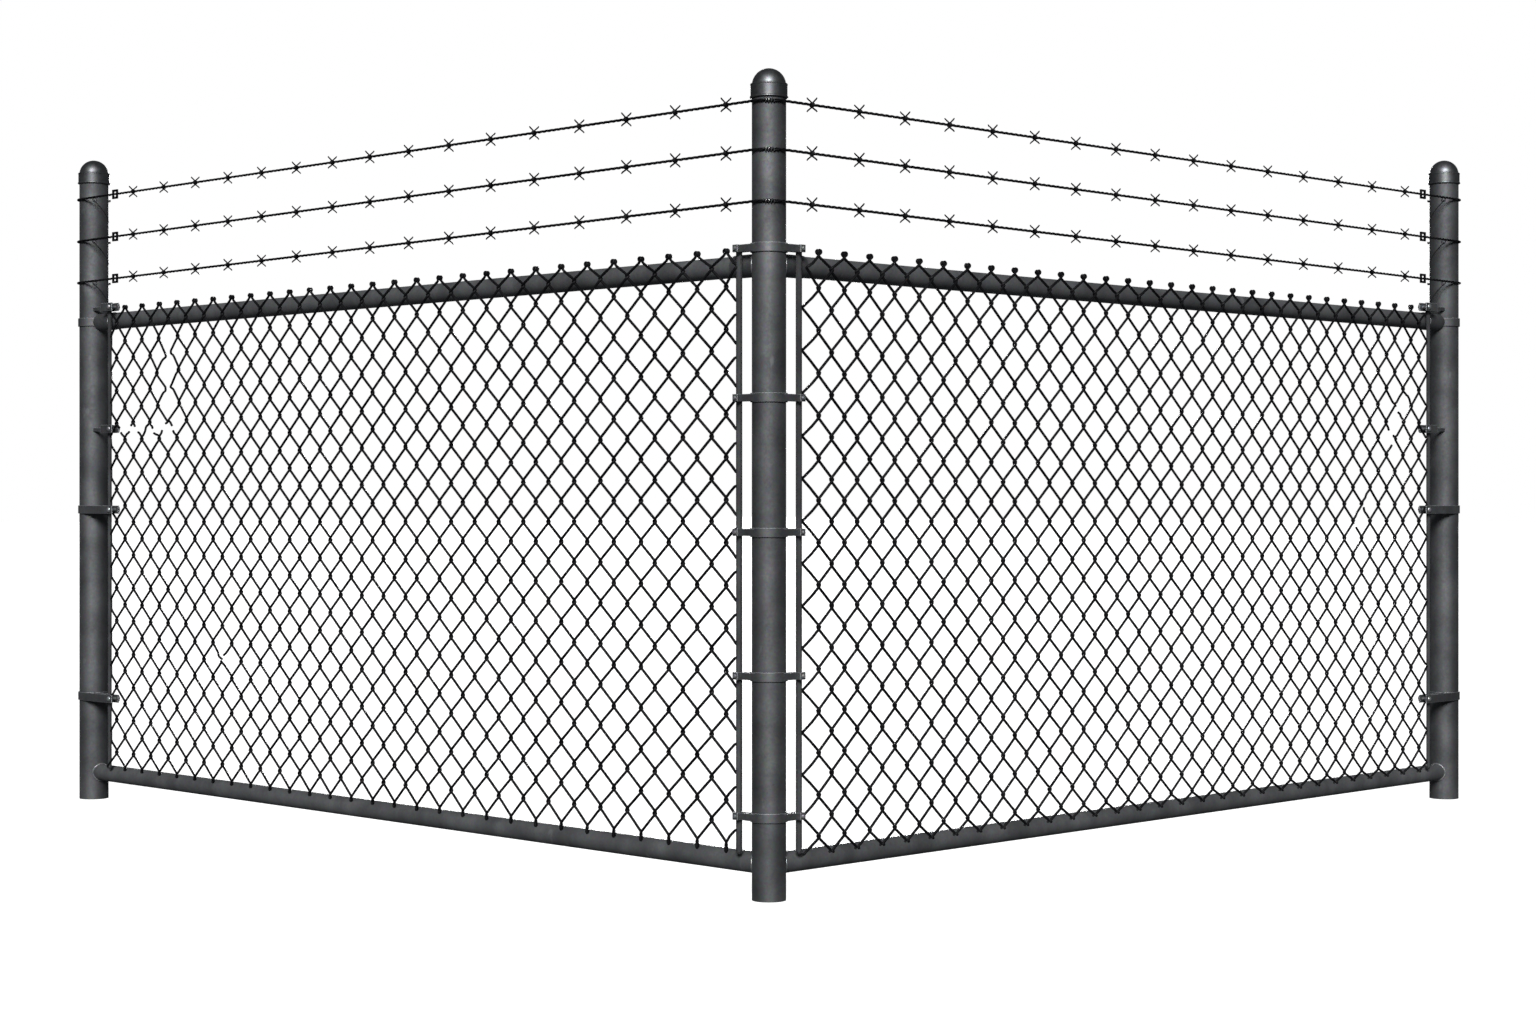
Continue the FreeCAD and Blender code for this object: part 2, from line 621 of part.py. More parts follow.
make_post("corner_post", "corner_post_diameter", "corner_post_height", "right", "0")
make_cap("corner_post_cap", "corner_post_diameter", "corner_post_height", "right", "0")
for side in SIDES:
    make_post(f"{side}_end_post", "end_post_diameter", "end_post_height", side, "Dimensions.bay_length")
    make_cap(f"{side}_end_post_cap", "end_post_diameter", "end_post_height", side, "Dimensions.bay_length")
    make_top_rail(side)
    make_bottom_rail(side)
    make_brace_band(side)
    for place in ("corner", "end"):
        make_cup(side, place)
        make_tension_bar(side, place)
    for level in ("lower", "upper"):
        make_end_band(side, level)
    for level in ("middle", "top"):
        make_bar_clip(side, level)
    for level in ("top", "middle", "lower"):
        make_strand(side, level)
    clamps = doc.addObject("Part::Compound", f"{side}_wire_clamps")
    clamps.Links = [make_clamp(side, level) for level in ("top", "middle", "lower")]
    finish(clamps, f"{side}_wire_clamps")
for number in ("one", "two", "three", "four", "five"):
    make_corner_band(number)
make_fabrics()
doc.recompute()

for obj in doc.Objects:
    failed = {"Invalid", "Error"} & set(obj.State)
    if failed:
        raise RuntimeError(f"{obj.Label} is {obj.State}")
for obj in finished:
    if obj.Shape.isNull() or not obj.Shape.isValid():
        raise RuntimeError(f"{obj.Label} has no valid shape")

os.makedirs("parts", exist_ok=True)
for obj in finished:
    obj.Shape.exportStep(f"parts/{obj.Label}.step")
    solids = len(obj.Shape.Solids)
    print(f"{obj.Label}: {solids} solids, {len(obj.Shape.Faces)} faces, {obj.Shape.Volume / 1000:.1f} cm3")
print(f"{len(finished)} nodes")
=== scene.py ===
import bpy
import math
from mathutils import Matrix, Vector, noise


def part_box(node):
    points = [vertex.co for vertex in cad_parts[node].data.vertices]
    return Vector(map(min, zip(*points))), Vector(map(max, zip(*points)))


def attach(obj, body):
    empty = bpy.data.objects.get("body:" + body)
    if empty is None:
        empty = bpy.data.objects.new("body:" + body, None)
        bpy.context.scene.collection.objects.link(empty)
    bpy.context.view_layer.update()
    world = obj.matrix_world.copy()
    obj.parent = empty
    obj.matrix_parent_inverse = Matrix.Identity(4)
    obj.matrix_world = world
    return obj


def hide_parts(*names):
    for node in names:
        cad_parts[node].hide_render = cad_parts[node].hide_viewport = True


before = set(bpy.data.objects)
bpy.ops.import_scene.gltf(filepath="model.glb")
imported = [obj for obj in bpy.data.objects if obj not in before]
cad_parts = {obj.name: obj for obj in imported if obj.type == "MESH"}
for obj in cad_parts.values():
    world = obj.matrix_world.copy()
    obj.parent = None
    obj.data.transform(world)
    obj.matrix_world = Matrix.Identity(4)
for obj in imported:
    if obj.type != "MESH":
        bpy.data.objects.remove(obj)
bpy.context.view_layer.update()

# Sizes read from the frame, in metres
MM = 0.001
UP = Vector((0, 0, 1))
SIDES = ("right", "left")
STRANDS = ("top", "middle", "lower")
corner_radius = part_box("corner_post")[1].x
end_low, end_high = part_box("right_end_post")
end_radius = (end_high.x - end_low.x) / 2
bay_length = (end_high.x + end_low.x) / 2
rail_low, rail_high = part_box("right_bottom_rail")
rail_radius = (rail_high.z - rail_low.z) / 2
bottom_rail_height = (rail_high.z + rail_low.z) / 2
top_low, top_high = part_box("right_top_rail")
top_rail_height = (top_high.z + top_low.z) / 2
bar_low, bar_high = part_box("right_tension_bar_at_corner")
bar_out = -(bar_low.y + bar_high.y) / 2
bar_half_thick = (bar_high.y - bar_low.y) / 2
bar_half_width = (bar_high.x - bar_low.x) / 2
corner_bar = (bar_low.x + bar_high.x) / 2
far_low, far_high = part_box("right_tension_bar_at_end")
end_bar = (far_low.x + far_high.x) / 2
bars_between = corner_bar + end_bar
fabric_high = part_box("right_fabric_corner_half")[1]

# The woven fabric
WIRE = 5.2 * MM
WIRE_SIDES = 7
LAYER = 2.6 * MM
BEFORE_BARS = 0.3 * MM
FULL_LEVELS = 26
TOP_NODE_SHARE = 0.58

# Bends where two wires hook into each other: steps of rise and of depth in layers
HOOK_APEX = 2.7 * MM
HOOK_ROUND = 1.3 * MM
HOOK_STEPS = ((7.5 * MM, 1.0), (3.0 * MM, 0.92), (1.0 * MM, 0.42))

# Bends behind the tension bars
BAR_HOOK_REACH = 4.5 * MM
BAR_HOOK_BESIDE = 3 * MM
BAR_HOOK_GAP = 0.3 * MM
BAR_HOOK_LEG = 20 * MM
BAR_HOOK_LEG_PAST = 12 * MM
BAR_HOOK_RISE = 1.2 * MM
BAR_HOOK_SHARE = 0.6
TOP_HOOK_FROM_BAR = 12 * MM

# Knuckles at the top edge, with angles in degrees
KNUCKLE_HALF = 5.2 * MM
KNUCKLE_ACROSS = 3.5 * MM
KNUCKLE_RISE = 3.0 * MM
KNUCKLE_STEPS = 10
KNUCKLE_FROM = -70
KNUCKLE_BY = 34
PEAK_DROP = 4 * MM
PEAK_LEG = 4 * MM
PEAK_BESIDE = 0.4 * MM
fabric_top = fabric_high.z - KNUCKLE_HALF

# Feet at the bottom edge: steps across, in depth by layers, down by shares of the neck, and up
FOOT_NECK = 1.5 * MM
FOOT_SEAT = 1 * MM
FOOT_STEPS = ((3.2 * MM, -0.7, 1, -0.8 * MM), (1.6 * MM, -1.0, 1, -1.2 * MM),
              (0.8 * MM, -1.0, 1, 0), (-0.5 * MM, -0.6, 0.55, 0),
              (-0.5 * MM, 0.7, 0.2, 0), (-2.6 * MM, 1.0, 0, 2.6 * MM))

# Tears: lines of runs and heights in millimetres along which wires are snapped, and a half width
TEARS = {
    "left": ((((1858, 862), (1950, 856), (2060, 862), (2112, 852)), 3.2),
             (((1672, 372), (1660, 348)), 5)),
    "right": ((((2040, 930), (1996, 905), (1972, 870), (1974, 820)), 5),
              (((1868, 708), (1842, 672), (1822, 640)), 4.5),
              (((1210, 1046), (1236, 1034)), 9)),
}
TEAR_NEAR = 25 * MM
TEAR_STEP = 4 * MM
TEAR_MEAN = 0.65
TEAR_SPREAD = 1.2
TEAR_GRAIN = 40
BENT_NEAR = 50 * MM
BENT_FADE = 14 * MM
BENT_ASIDE = 3 * MM
BENT_RIPPLE = 7 * MM
RIPPLE_GRAINS = (50, 60, 45)

# Seams where wires came out of each other: a run, two heights and how far each side has moved
SEAMS = {"left": ((1868, 850, 1075, 22),), "right": ((1985, 800, 950, 6),)}
SEAM_ROUND = 0.6
SEAM_REACH = 55 * MM
SEAM_MEAN = 0.75
SEAM_SPREAD = 0.6
SEAM_GRAIN = 28
SEAM_SAG = 0.4
SEAM_LIFT = 0.1

# The barbed wire
STRAND_WIRES = 3
STRAND_WIRE = 2.6 * MM
STRAND_SIDES = 7
STRAND_OFFSET = STRAND_WIRE / math.sqrt(3)
STRAND_RADIUS = STRAND_OFFSET + STRAND_WIRE / 2
STRAND_LAY = 42 * MM
STRAND_STEPS = 8
STRAND_GAP = 0.15 * MM
STRAND_SOLID_HALF = 2 * MM
CORNER_BEND = math.pi / 4
LEAST_BEND = 0.01
END_WRAP = 3.6
strand_at_corner = corner_radius + STRAND_RADIUS + STRAND_GAP
strand_at_end = end_radius + STRAND_RADIUS + STRAND_GAP

# Its barbs
BARBS = 16
FIRST_BARB = 74 * MM
LAST_BARB_FROM_END = 228.4 * MM
BARB_DRIFT = {"right": -34 * MM, "left": 10 * MM}
BARB_WIRE = 3.0 * MM
BARB_TIP = 1.2 * MM
BARB_SIDES = 6
BARB_REACH = 6.4 * MM
BARB_HEIGHT = 12.5 * MM
BARB_TAPER = 0.8
BARB_STEPS = 12
BARB_START = math.radians(50)
BARB_WOUND = 3 * math.pi
BARB_APART = 1.4 * MM
BARB_ADVANCE = 2.6 * MM
BARB_BITE = 0.8

# Clamps, eyes and loose tails near the end posts, and ties on the corner post
CLAMP_FROM_POST = 152 * MM
CLAMP_HALVES = (10.5 * MM, 1.8 * MM, 10.5 * MM)
CLAMP_BAR = 2.3 * MM
TIE_WIRE = 1.6 * MM
TIE_SIDES = 8
TIE_FACING = math.radians(59)
TIE_OVER_STRAND = 1 * MM
EYE_RADIUS = 4.4 * MM
EYE_STEPS = 18
EYE_OUT = 5.4 * MM
STALK_GAPS = (-1.0 * MM, 2.0 * MM, EYE_OUT)
TAIL_WIRE = 0.8 * TIE_WIRE
TAIL_STEPS = 14
TAIL_TURN = math.radians(78)
TAIL_DROP = 48 * MM
TAIL_GAP = 0.7 * MM
TAIL_START = 3.5 * MM
CORNER_TIE_TURNS = 4
CORNER_TIE_STEPS = 72
CORNER_TIE_SPAN = 0.6
CORNER_TIE_SIDES = 6

# Bolts and nuts: profiles are pairs of a radius and a distance along the axis
BACK_EAR = bar_half_thick + 6.5 * MM
END_BOLT_BEYOND_BAR = 8 * MM
CORNER_BOLT_BEFORE_BAR = 3 * MM
NUT_PROFILE = ((8.4 * MM, 0), (9.1 * MM, 0.5 * MM), (9.1 * MM, 5.0 * MM), (8.0 * MM, 5.8 * MM))
NUT_SIDES = 4
SHANK = 3.9 * MM
SHANK_BACK = 2 * MM
SHANK_START = (3.6 * MM, 0.4 * MM)
SHANK_TIP = (3.2 * MM, 1.0 * MM)
SHANK_PAST = 9.4 * MM
SHANK_SIDES = 12
HEAD_RADIUS = 6.2 * MM
HEAD_RISE = 4.0 * MM
HEAD_ANGLES = (88, 70, 50, 30, 12, 0)
HEAD_SIDES = 16

# Rolled edges on the caps
ROLL_STEPS = 64
ROLL_SIDES = 8
DOME_ROLL = 2.4 * MM
DOME_ROLL_OUT = 0.6 * MM
DOME_ROLL_RISE = 1.2 * MM
SKIRT_ROLL = 2.3 * MM
SKIRT_ROLL_IN = 0.8 * MM
SKIRT_ROLL_RISE = 1.5 * MM

# Weld beads
BEAD = 2.2 * MM
CUP_BEAD = 1.6 * MM
CUP_BEAD_OUT = 1.5 * MM
BEAD_STEPS = 56
BEAD_SIDES = 8
BEAD_OFF_RAIL = 0.2
BEAD_OFF_POST = 0.3
BEAD_RIPPLE = 0.12
BEAD_RIPPLE_STEP = 2.4

BLOCK_CORNERS = ((-1, -1, -1), (1, -1, -1), (1, 1, -1), (-1, 1, -1),
                 (-1, -1, 1), (1, -1, 1), (1, 1, 1), (-1, 1, 1))
BLOCK_FACES = ((3, 2, 1, 0), (4, 5, 6, 7), (0, 1, 5, 4), (1, 2, 6, 5), (2, 3, 7, 6), (3, 0, 4, 7))


def bay_point(side, run, out, height):
    """A point given along a bay's run, outwards from its middle plane, and in height."""
    if side == "right":
        return Vector((run, -out, height))
    return Vector((-out, run, height))


def full_turn(steps):
    """Angles of one full turn, with the first angle again at the end."""
    return [2 * math.pi * step / steps for step in range(steps + 1)]


def ahead_at(points, index):
    """The way along a line of points at one of them."""
    return (points[min(index + 1, len(points) - 1)] - points[max(index - 1, 0)]).normalized()


class Shape:
    """Corners and faces of a mesh that is put together from tubes, turned forms and blocks."""

    def __init__(self):
        self.corners = []
        self.faces = []

    def ring(self, centre, first, second, radius, sides, turn=0.0):
        for number in range(sides):
            angle = turn + 2 * math.pi * number / sides
            away = first * math.cos(angle) + second * math.sin(angle)
            self.corners.append(centre + away * radius)

    def skin(self, start, rings, sides):
        for ring in range(rings - 1):
            for number in range(sides):
                a = start + ring * sides + number
                b = start + ring * sides + (number + 1) % sides
                self.faces.append((a, b, b + sides, a + sides))
        last = start + (rings - 1) * sides
        self.faces.append(tuple(reversed(range(start, start + sides))))
        self.faces.append(tuple(range(last, last + sides)))

    def tube(self, points, radius, sides):
        """A round tube along points. The radius is one number, or one for each point."""
        start = len(self.corners)
        normal = None
        for index, point in enumerate(points):
            ahead = ahead_at(points, index)
            if normal is None:
                normal = ahead.orthogonal()
            normal = (normal - ahead * normal.dot(ahead)).normalized()
            width = radius[index] if isinstance(radius, list) else radius
            self.ring(point, normal, ahead.cross(normal), width, sides)
        self.skin(start, len(points), sides)

    def turned(self, origin, axis, profile, sides, turn=0.0):
        """A form turned round a level axis, from pairs of a radius and a distance along it."""
        start = len(self.corners)
        first = axis.cross(UP).normalized()
        second = axis.cross(first)
        for radius, along in profile:
            self.ring(origin + axis * along, first, second, radius, sides, turn)
        self.skin(start, len(profile), sides)

    def block(self, centre, halves):
        """A block from its middle and three half sides, each a vector."""
        start = len(self.corners)
        for a, b, c in BLOCK_CORNERS:
            self.corners.append(centre + halves[0] * a + halves[1] * b + halves[2] * c)
        for face in BLOCK_FACES:
            self.faces.append(tuple(start + number for number in face))

    def piece(self, name, material, replaced=(), sharp=50):
        mesh = bpy.data.meshes.new(name)
        mesh.from_pydata(self.corners, [], self.faces)
        mesh.polygons.foreach_set("use_smooth", [True] * len(mesh.polygons))
        mesh.set_sharp_from_angle(angle=math.radians(sharp))
        mesh.materials.append(material)
        made = bpy.data.objects.new(name, mesh)
        bpy.context.scene.collection.objects.link(made)
        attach(made, "root")
        if replaced:
            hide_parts(*replaced)
        return made


def grey(tone):
    return (tone, tone, tone)


def times(colour, factor):
    return tuple(min(1.0, value * factor) for value in colour)


# Materials
RUST_COLOUR = (0.09, 0.045, 0.022)


def metal(name, dark, light, metallic, rough, spangle=0.1, rust=0.0, bevel=0.0, painted_edge_share=0.0,
          edge_tone=4.5, shine=0.5):
    """Weathered coated steel: mottled, with fine spangle, streaks, scuffs and rust; its edges are
    tinted towards edge_tone, a painted highlight on caps and fittings and painted shade on tension
    bars.
    """
    material = bpy.data.materials.new(name)
    material.use_nodes = True
    nodes = material.node_tree.nodes
    links = material.node_tree.links
    shader = nodes["Principled BSDF"]
    place = nodes.new("ShaderNodeTexCoord").outputs["Object"]

    def noise_node(scale, detail, stretch=(1, 1, 1)):
        mapping = nodes.new("ShaderNodeMapping")
        mapping.inputs["Scale"].default_value = stretch
        links.new(place, mapping.inputs["Vector"])
        node = nodes.new("ShaderNodeTexNoise")
        node.inputs["Scale"].default_value = scale
        node.inputs["Detail"].default_value = detail
        links.new(mapping.outputs["Vector"], node.inputs["Vector"])
        return node.outputs["Fac"]

    def ramp(value, *stops):
        node = nodes.new("ShaderNodeValToRGB")
        for element, (position, colour) in zip(node.color_ramp.elements, stops):
            element.position = position
            element.color = (*colour, 1)
        links.new(value, node.inputs["Fac"])
        return node.outputs["Color"]

    def mix(kind, factor, first, second):
        node = nodes.new("ShaderNodeMix")
        node.data_type = "RGBA"
        node.blend_type = kind
        if isinstance(factor, float):
            node.inputs["Factor"].default_value = factor
        else:
            links.new(factor, node.inputs["Factor"])
        for value, socket in ((first, "A"), (second, "B")):
            found = [s for s in node.inputs if s.name == socket and s.type == "RGBA"][0]
            if isinstance(value, tuple):
                found.default_value = (*value, 1)
            else:
                links.new(value, found)
        return [s for s in node.outputs if s.type == "RGBA"][0]

    mottle = noise_node(scale=14, detail=6)
    streaks = noise_node(scale=26, detail=4, stretch=(1, 1, 0.06))
    specks = noise_node(scale=150, detail=5)
    scratches = noise_node(scale=34, detail=8, stretch=(1, 1, 0.5))
    blotches = noise_node(scale=46, detail=9)
    cells = nodes.new("ShaderNodeTexVoronoi")
    cells.inputs["Scale"].default_value = 260
    links.new(place, cells.inputs["Vector"])
    colour = ramp(mottle, (0.36, dark), (0.66, light))
    streak_tone = ramp(streaks, (0.32, grey(0.3)), (0.7, grey(0.66)))
    colour = mix("OVERLAY", 0.35, colour, streak_tone)
    colour = mix("OVERLAY", spangle, colour, cells.outputs["Color"])
    scuffs = ramp(scratches, (0.66, grey(0)), (0.74, grey(1)))
    colour = mix("MIX", mix("MULTIPLY", 1.0, scuffs, grey(0.35)), colour, times(light, 1.9))
    rusted = ramp(blotches, (0.7 - rust, grey(0)), (0.82 - rust, grey(1)))
    colour = mix("MIX", mix("MULTIPLY", 1.0, rusted, grey(0.55)), colour, RUST_COLOUR)

    bump = nodes.new("ShaderNodeBump")
    bump.inputs["Strength"].default_value = 0.16
    bump.inputs["Distance"].default_value = 0.4 * MM
    links.new(specks, bump.inputs["Height"])
    links.new(bump.outputs["Normal"], shader.inputs["Normal"])
    # Painted light on the edges: where the Bevel normal turns away from the surface normal, the
    # colour is blended towards light times edge_tone. This is a painted highlight when edge_tone is
    # above 1 and painted shade (dark outlines) when it is below.
    if bevel:
        edge = nodes.new("ShaderNodeBevel")
        edge.samples = 4
        edge.inputs["Radius"].default_value = bevel
        links.new(edge.outputs["Normal"], bump.inputs["Normal"])
        plain = nodes.new("ShaderNodeNewGeometry")
        bend = nodes.new("ShaderNodeVectorMath")
        bend.operation = "DOT_PRODUCT"
        links.new(plain.outputs["Normal"], bend.inputs[0])
        links.new(edge.outputs["Normal"], bend.inputs[1])
        painted_edge_mask = nodes.new("ShaderNodeMapRange")
        painted_edge_mask.inputs["From Min"].default_value = 0.98
        painted_edge_mask.inputs["From Max"].default_value = 0.8
        painted_edge_mask.inputs["To Max"].default_value = painted_edge_share
        links.new(bend.outputs["Value"], painted_edge_mask.inputs["Value"])
        colour = mix("MIX", painted_edge_mask.outputs["Result"], colour, times(light, edge_tone))
    links.new(colour, shader.inputs["Base Color"])

    spread = nodes.new("ShaderNodeMapRange")
    spread.inputs["To Min"].default_value = rough - 0.08
    spread.inputs["To Max"].default_value = rough + 0.14
    links.new(specks, spread.inputs["Value"])
    links.new(spread.outputs["Result"], shader.inputs["Roughness"])
    shader.inputs["Metallic"].default_value = metallic
    shader.inputs["Specular IOR Level"].default_value = shine
    return material


tube_metal = metal("galvanised_tube", (0.112, 0.115, 0.121), (0.172, 0.177, 0.185),
                   metallic=1.0, rough=0.66)
rail_metal = metal("galvanised_rail", (0.1, 0.103, 0.108), (0.155, 0.16, 0.167),
                   metallic=0.55, rough=0.54)
# Caps: edges lightened as a painted highlight.
cap_metal = metal("galvanised_cap", (0.134, 0.138, 0.145), (0.206, 0.212, 0.222),
                  metallic=1.0, rough=0.44, spangle=0.08, bevel=1.4 * MM, painted_edge_share=0.7)
# Bands, clips and cups: edges lightened as a painted highlight.
fitting_metal = metal("pressed_fitting", (0.115, 0.118, 0.124), (0.165, 0.17, 0.178),
                      metallic=0.9, rough=0.58, spangle=0.12, rust=0.02, bevel=1.8 * MM, painted_edge_share=0.8)
# Tension bars: edges darkened as painted shade, giving dark outlines.
bar_metal = metal("tension_bar", (0.09, 0.092, 0.097), (0.15, 0.154, 0.161),
                  metallic=0.5, rough=0.5, spangle=0.12, bevel=7 * MM, painted_edge_share=1.0, edge_tone=0.04)
fabric_metal = metal("fabric_wire", (0.003, 0.003, 0.004), (0.010, 0.010, 0.011),
                     metallic=0.1, rough=0.5, shine=0.12)
barb_metal = metal("barbed_wire", (0.003, 0.003, 0.004), (0.010, 0.010, 0.011),
                   metallic=0.1, rough=0.5, shine=0.12)
tie_metal = metal("tie_wire", (0.02, 0.02, 0.022), (0.06, 0.06, 0.064), metallic=0.6, rough=0.35)
bright_tie_metal = metal("bright_tie_wire", (0.16, 0.16, 0.165), (0.42, 0.42, 0.43),
                         metallic=0.8, rough=0.28)
bolt_metal = metal("zinc_bolt", (0.30, 0.31, 0.32), (0.5, 0.51, 0.53),
                   metallic=0.8, rough=0.34, rust=0.02)
bead_metal = metal("weld_bead", (0.20, 0.205, 0.215), (0.32, 0.325, 0.335),
                   metallic=0.6, rough=0.38, rust=0.04)

for name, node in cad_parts.items():
    if name.endswith("cap"):
        chosen = cap_metal
    elif name.endswith("rail"):
        chosen = rail_metal
    elif "post" in name:
        chosen = tube_metal
    elif "fabric" in name:
        chosen = fabric_metal
    elif "barbed" in name:
        chosen = barb_metal
    elif "tension_bar" in name:
        chosen = bar_metal
    else:
        chosen = fitting_metal
    if node.material_slots:
        for socket in node.material_slots:
            socket.material = chosen
    else:
        node.data.materials.append(chosen)


# Chain link fabric
class Weave:
    """The chain link of one bay, laid out as the right bay's. The left bay's is turned later."""

    def __init__(self, side, wires, ends, bulge, rows, sink, feet, foot):
        """How the wires of a bay lie.

        wires is their number. ends are the runs of the first and last bends from the bars, and
        bulge is how far the bends between are moved along. rows are the heights of the lowest and
        highest full rows and their arch, and sink is how far they lie lower at the first and last
        bends. feet is the number of levels below those rows, and foot is how high they meet over
        the bottom rail.
        """
        self.wires = wires
        self.first = corner_bar + ends[0]
        self.last = end_bar + ends[1]
        self.bulge = bulge
        self.rows = rows
        self.sink = sink
        self.feet = feet
        self.lowest = rail_high.z + foot
        self.top = feet + FULL_LEVELS + 2
        turned = side == "left"

        def spot(run, height):
            return Vector((bars_between - run * MM if turned else run * MM, height * MM))

        self.tears = [([spot(*pair) for pair in line], half * MM) for line, half in TEARS[side]]
        self.seams = [(self.nearest_column(spot(run, 0).x), low * MM, high * MM, opening * MM)
                      for run, low, high, opening in SEAMS[side]]

    def column(self, number):
        """Run of a column of bends."""
        share = number / self.wires
        moved = self.bulge[0] * math.sin(math.pi * share)
        moved += self.bulge[1] * math.sin(2 * math.pi * share)
        run = self.first + (self.last - self.first) * share + moved
        reach = bar_half_width + BAR_HOOK_REACH
        if number == 0:
            return min(run, corner_bar + reach)
        return max(run, end_bar - reach) if number == self.wires else run

    def nearest_column(self, run):
        return min(range(self.wires), key=lambda number: abs(self.column(number) - run))

    def level(self, number, run):
        """Height of a level of bends at a run."""
        peak = fabric_top - PEAK_DROP
        if number == self.top:
            return peak
        if number == self.top - 1:
            below = self.level(number - 1, run)
            return below + (peak - below) * TOP_NODE_SHARE
        if number < self.feet:
            return self.lowest
        share = (number - self.feet) / FULL_LEVELS
        low, high, arch = self.rows
        along = (run - self.first) / (self.last - self.first)
        drop = self.sink[0] + (self.sink[1] - self.sink[0]) * along
        height = low + (high - low) * share + arch * math.sin(math.pi * share) - drop
        return max(self.lowest, height)

    def point(self, run, depth, height):
        """A point whose depth is measured inwards from the fabric's middle plane."""
        return Vector((run, depth - bar_out - BEFORE_BARS, height))

    def hook(self, run, height, way, before, after):
        """A bend towards way, 1 or -1 along the run, between legs that lean as before and after."""
        points = []
        for sign, lean, steps in ((-1, before, HOOK_STEPS), (1, after, reversed(HOOK_STEPS))):
            for rise, share in steps:
                inset = math.hypot(lean * rise, HOOK_ROUND) - HOOK_ROUND
                points.append(self.point(run + way * (HOOK_APEX - inset),
                                         way * sign * LAYER * share, height + sign * rise))
        return points

    def bar_hook(self, run, height, way, before, after):
        """A bend that passes behind a tension bar."""
        bar = end_bar if way > 0 else corner_bar
        beside = bar - way * (bar_half_width + BAR_HOOK_BESIDE)
        behind = bar_half_thick + BAR_HOOK_GAP + WIRE / 2
        past = max(0.0, way * (run - beside))
        far = max(past + BAR_HOOK_LEG_PAST, BAR_HOOK_LEG)
        points = []
        for sign, lean in ((-1, before), (1, after)):
            layer = way * sign * LAYER
            rise = max(BAR_HOOK_RISE, past / lean)
            leg = [self.point(run - way * far, layer, height + sign * far / lean),
                   self.point(beside, layer * BAR_HOOK_SHARE, height + sign * rise),
                   self.point(bar, behind, height + sign * rise * BAR_HOOK_SHARE)]
            points += leg if sign < 0 else reversed(leg)
        return points

    def top_knuckle(self, run, height, way):
        """A wire's end at the top edge, from the peak round a small ring."""
        layer = -way * LAYER
        points = [self.point(run - way * PEAK_LEG, layer, height - PEAK_LEG),
                  self.point(run - way * PEAK_BESIDE, layer, height)]
        for step in range(KNUCKLE_STEPS):
            angle = math.radians(KNUCKLE_FROM + KNUCKLE_BY * step)
            points.append(self.point(run + way * KNUCKLE_ACROSS * math.cos(angle), layer,
                                     height + PEAK_DROP + KNUCKLE_RISE * math.sin(angle)))
        return points

    def bottom_knuckle(self, run, height, way):
        """A wire's end at the bottom edge, from its foot on the rail up to its first leg."""
        neck = max(FOOT_NECK, height - rail_high.z + FOOT_SEAT)
        return [self.point(run + way * across, way * LAYER * deep, height - neck * down + rise)
                for across, deep, down, rise in FOOT_STEPS]

    def picket(self, number):
        """Points of one wire from its bottom end to its top end."""
        left = self.column(number)
        right = self.column(number + 1)
        hooked_ends = 1 if number in (0, self.wires - 1) else 2
        width = right - left + hooked_ends * (HOOK_APEX + HOOK_ROUND)
        points = []
        for level in range(self.top + 1):
            run, way = (right, 1) if (level + number) % 2 else (left, -1)
            height = self.level(level, run)
            if level == 0:
                points += self.bottom_knuckle(run, height, way)
                continue
            if level == self.top:
                points += self.top_knuckle(run, height, way)
                continue
            before = width / (height - self.level(level - 1, run))
            after = width / (self.level(level + 1, run) - height)
            at_bar = number == 0 and way < 0 or number == self.wires - 1 and way > 0
            if not at_bar:
                points += self.hook(run, height, way, before, after)
            elif level < self.top - 1:
                points += self.bar_hook(run, height, way, before, after)
            else:
                points += self.hook(run - way * TOP_HOOK_FROM_BAR, height, way, before, after)
        return [self.opened(number, point) for point in points]

    def opened(self, number, point):
        """Moves a point of a wire away from a seam that has come apart."""
        for column, low, high, opening in self.seams:
            if low < point.z < high:
                share = math.sin(math.pi * (point.z - low) / (high - low)) ** SEAM_ROUND
                reach = math.exp(-abs(point.x - self.column(column)) / SEAM_REACH)
                uneven = SEAM_MEAN + SEAM_SPREAD * noise.noise(point * SEAM_GRAIN)
                moved = opening * share * reach * uneven
                if number < column:
                    point = point + Vector((-moved, 0, -SEAM_SAG * moved))
                else:
                    point = point + Vector((moved, 0, SEAM_LIFT * moved))
        return point

    def nearest_tear(self, point):
        """Distance from a point to the nearest tear, its half width, and the way out of it."""
        best = (1.0, 0.0, Vector((0, 0)))
        spot = Vector((point.x, point.z))
        for line, half in self.tears:
            for start, end in zip(line, line[1:]):
                along = end - start
                share = max(0.0, min(1.0, (spot - start).dot(along) / along.length_squared))
                away = spot - start - along * share
                if away.length < best[0]:
                    best = (away.length, half, away)
        return best

    def lengths(self, number):
        """The lengths of one wire between its snapped places, with their ends bent aside."""
        points = self.picket(number)
        dense = points[:1]
        for start, end in zip(points, points[1:]):
            steps = 1
            if self.nearest_tear((start + end) / 2)[0] < TEAR_NEAR:
                steps = max(1, round((end - start).length / TEAR_STEP))
            dense += [start.lerp(end, step / steps) for step in range(1, steps + 1)]
        parts = [[]]
        for point in dense:
            distance, half, away = self.nearest_tear(point)
            if distance < half * (TEAR_MEAN + TEAR_SPREAD * noise.noise(point * TEAR_GRAIN)):
                parts.append([])
                continue
            if distance < BENT_NEAR:
                fade = math.exp(-distance / BENT_FADE)
                away = away.normalized() * (BENT_ASIDE * fade)
                ripple = Vector([noise.noise(point * grain) for grain in RIPPLE_GRAINS])
                ripple.y = -abs(ripple.y)
                point = point + Vector((away.x, 0, away.y)) + ripple * (BENT_RIPPLE * fade)
            parts[-1].append(point)
        return [part for part in parts if len(part) > 2]


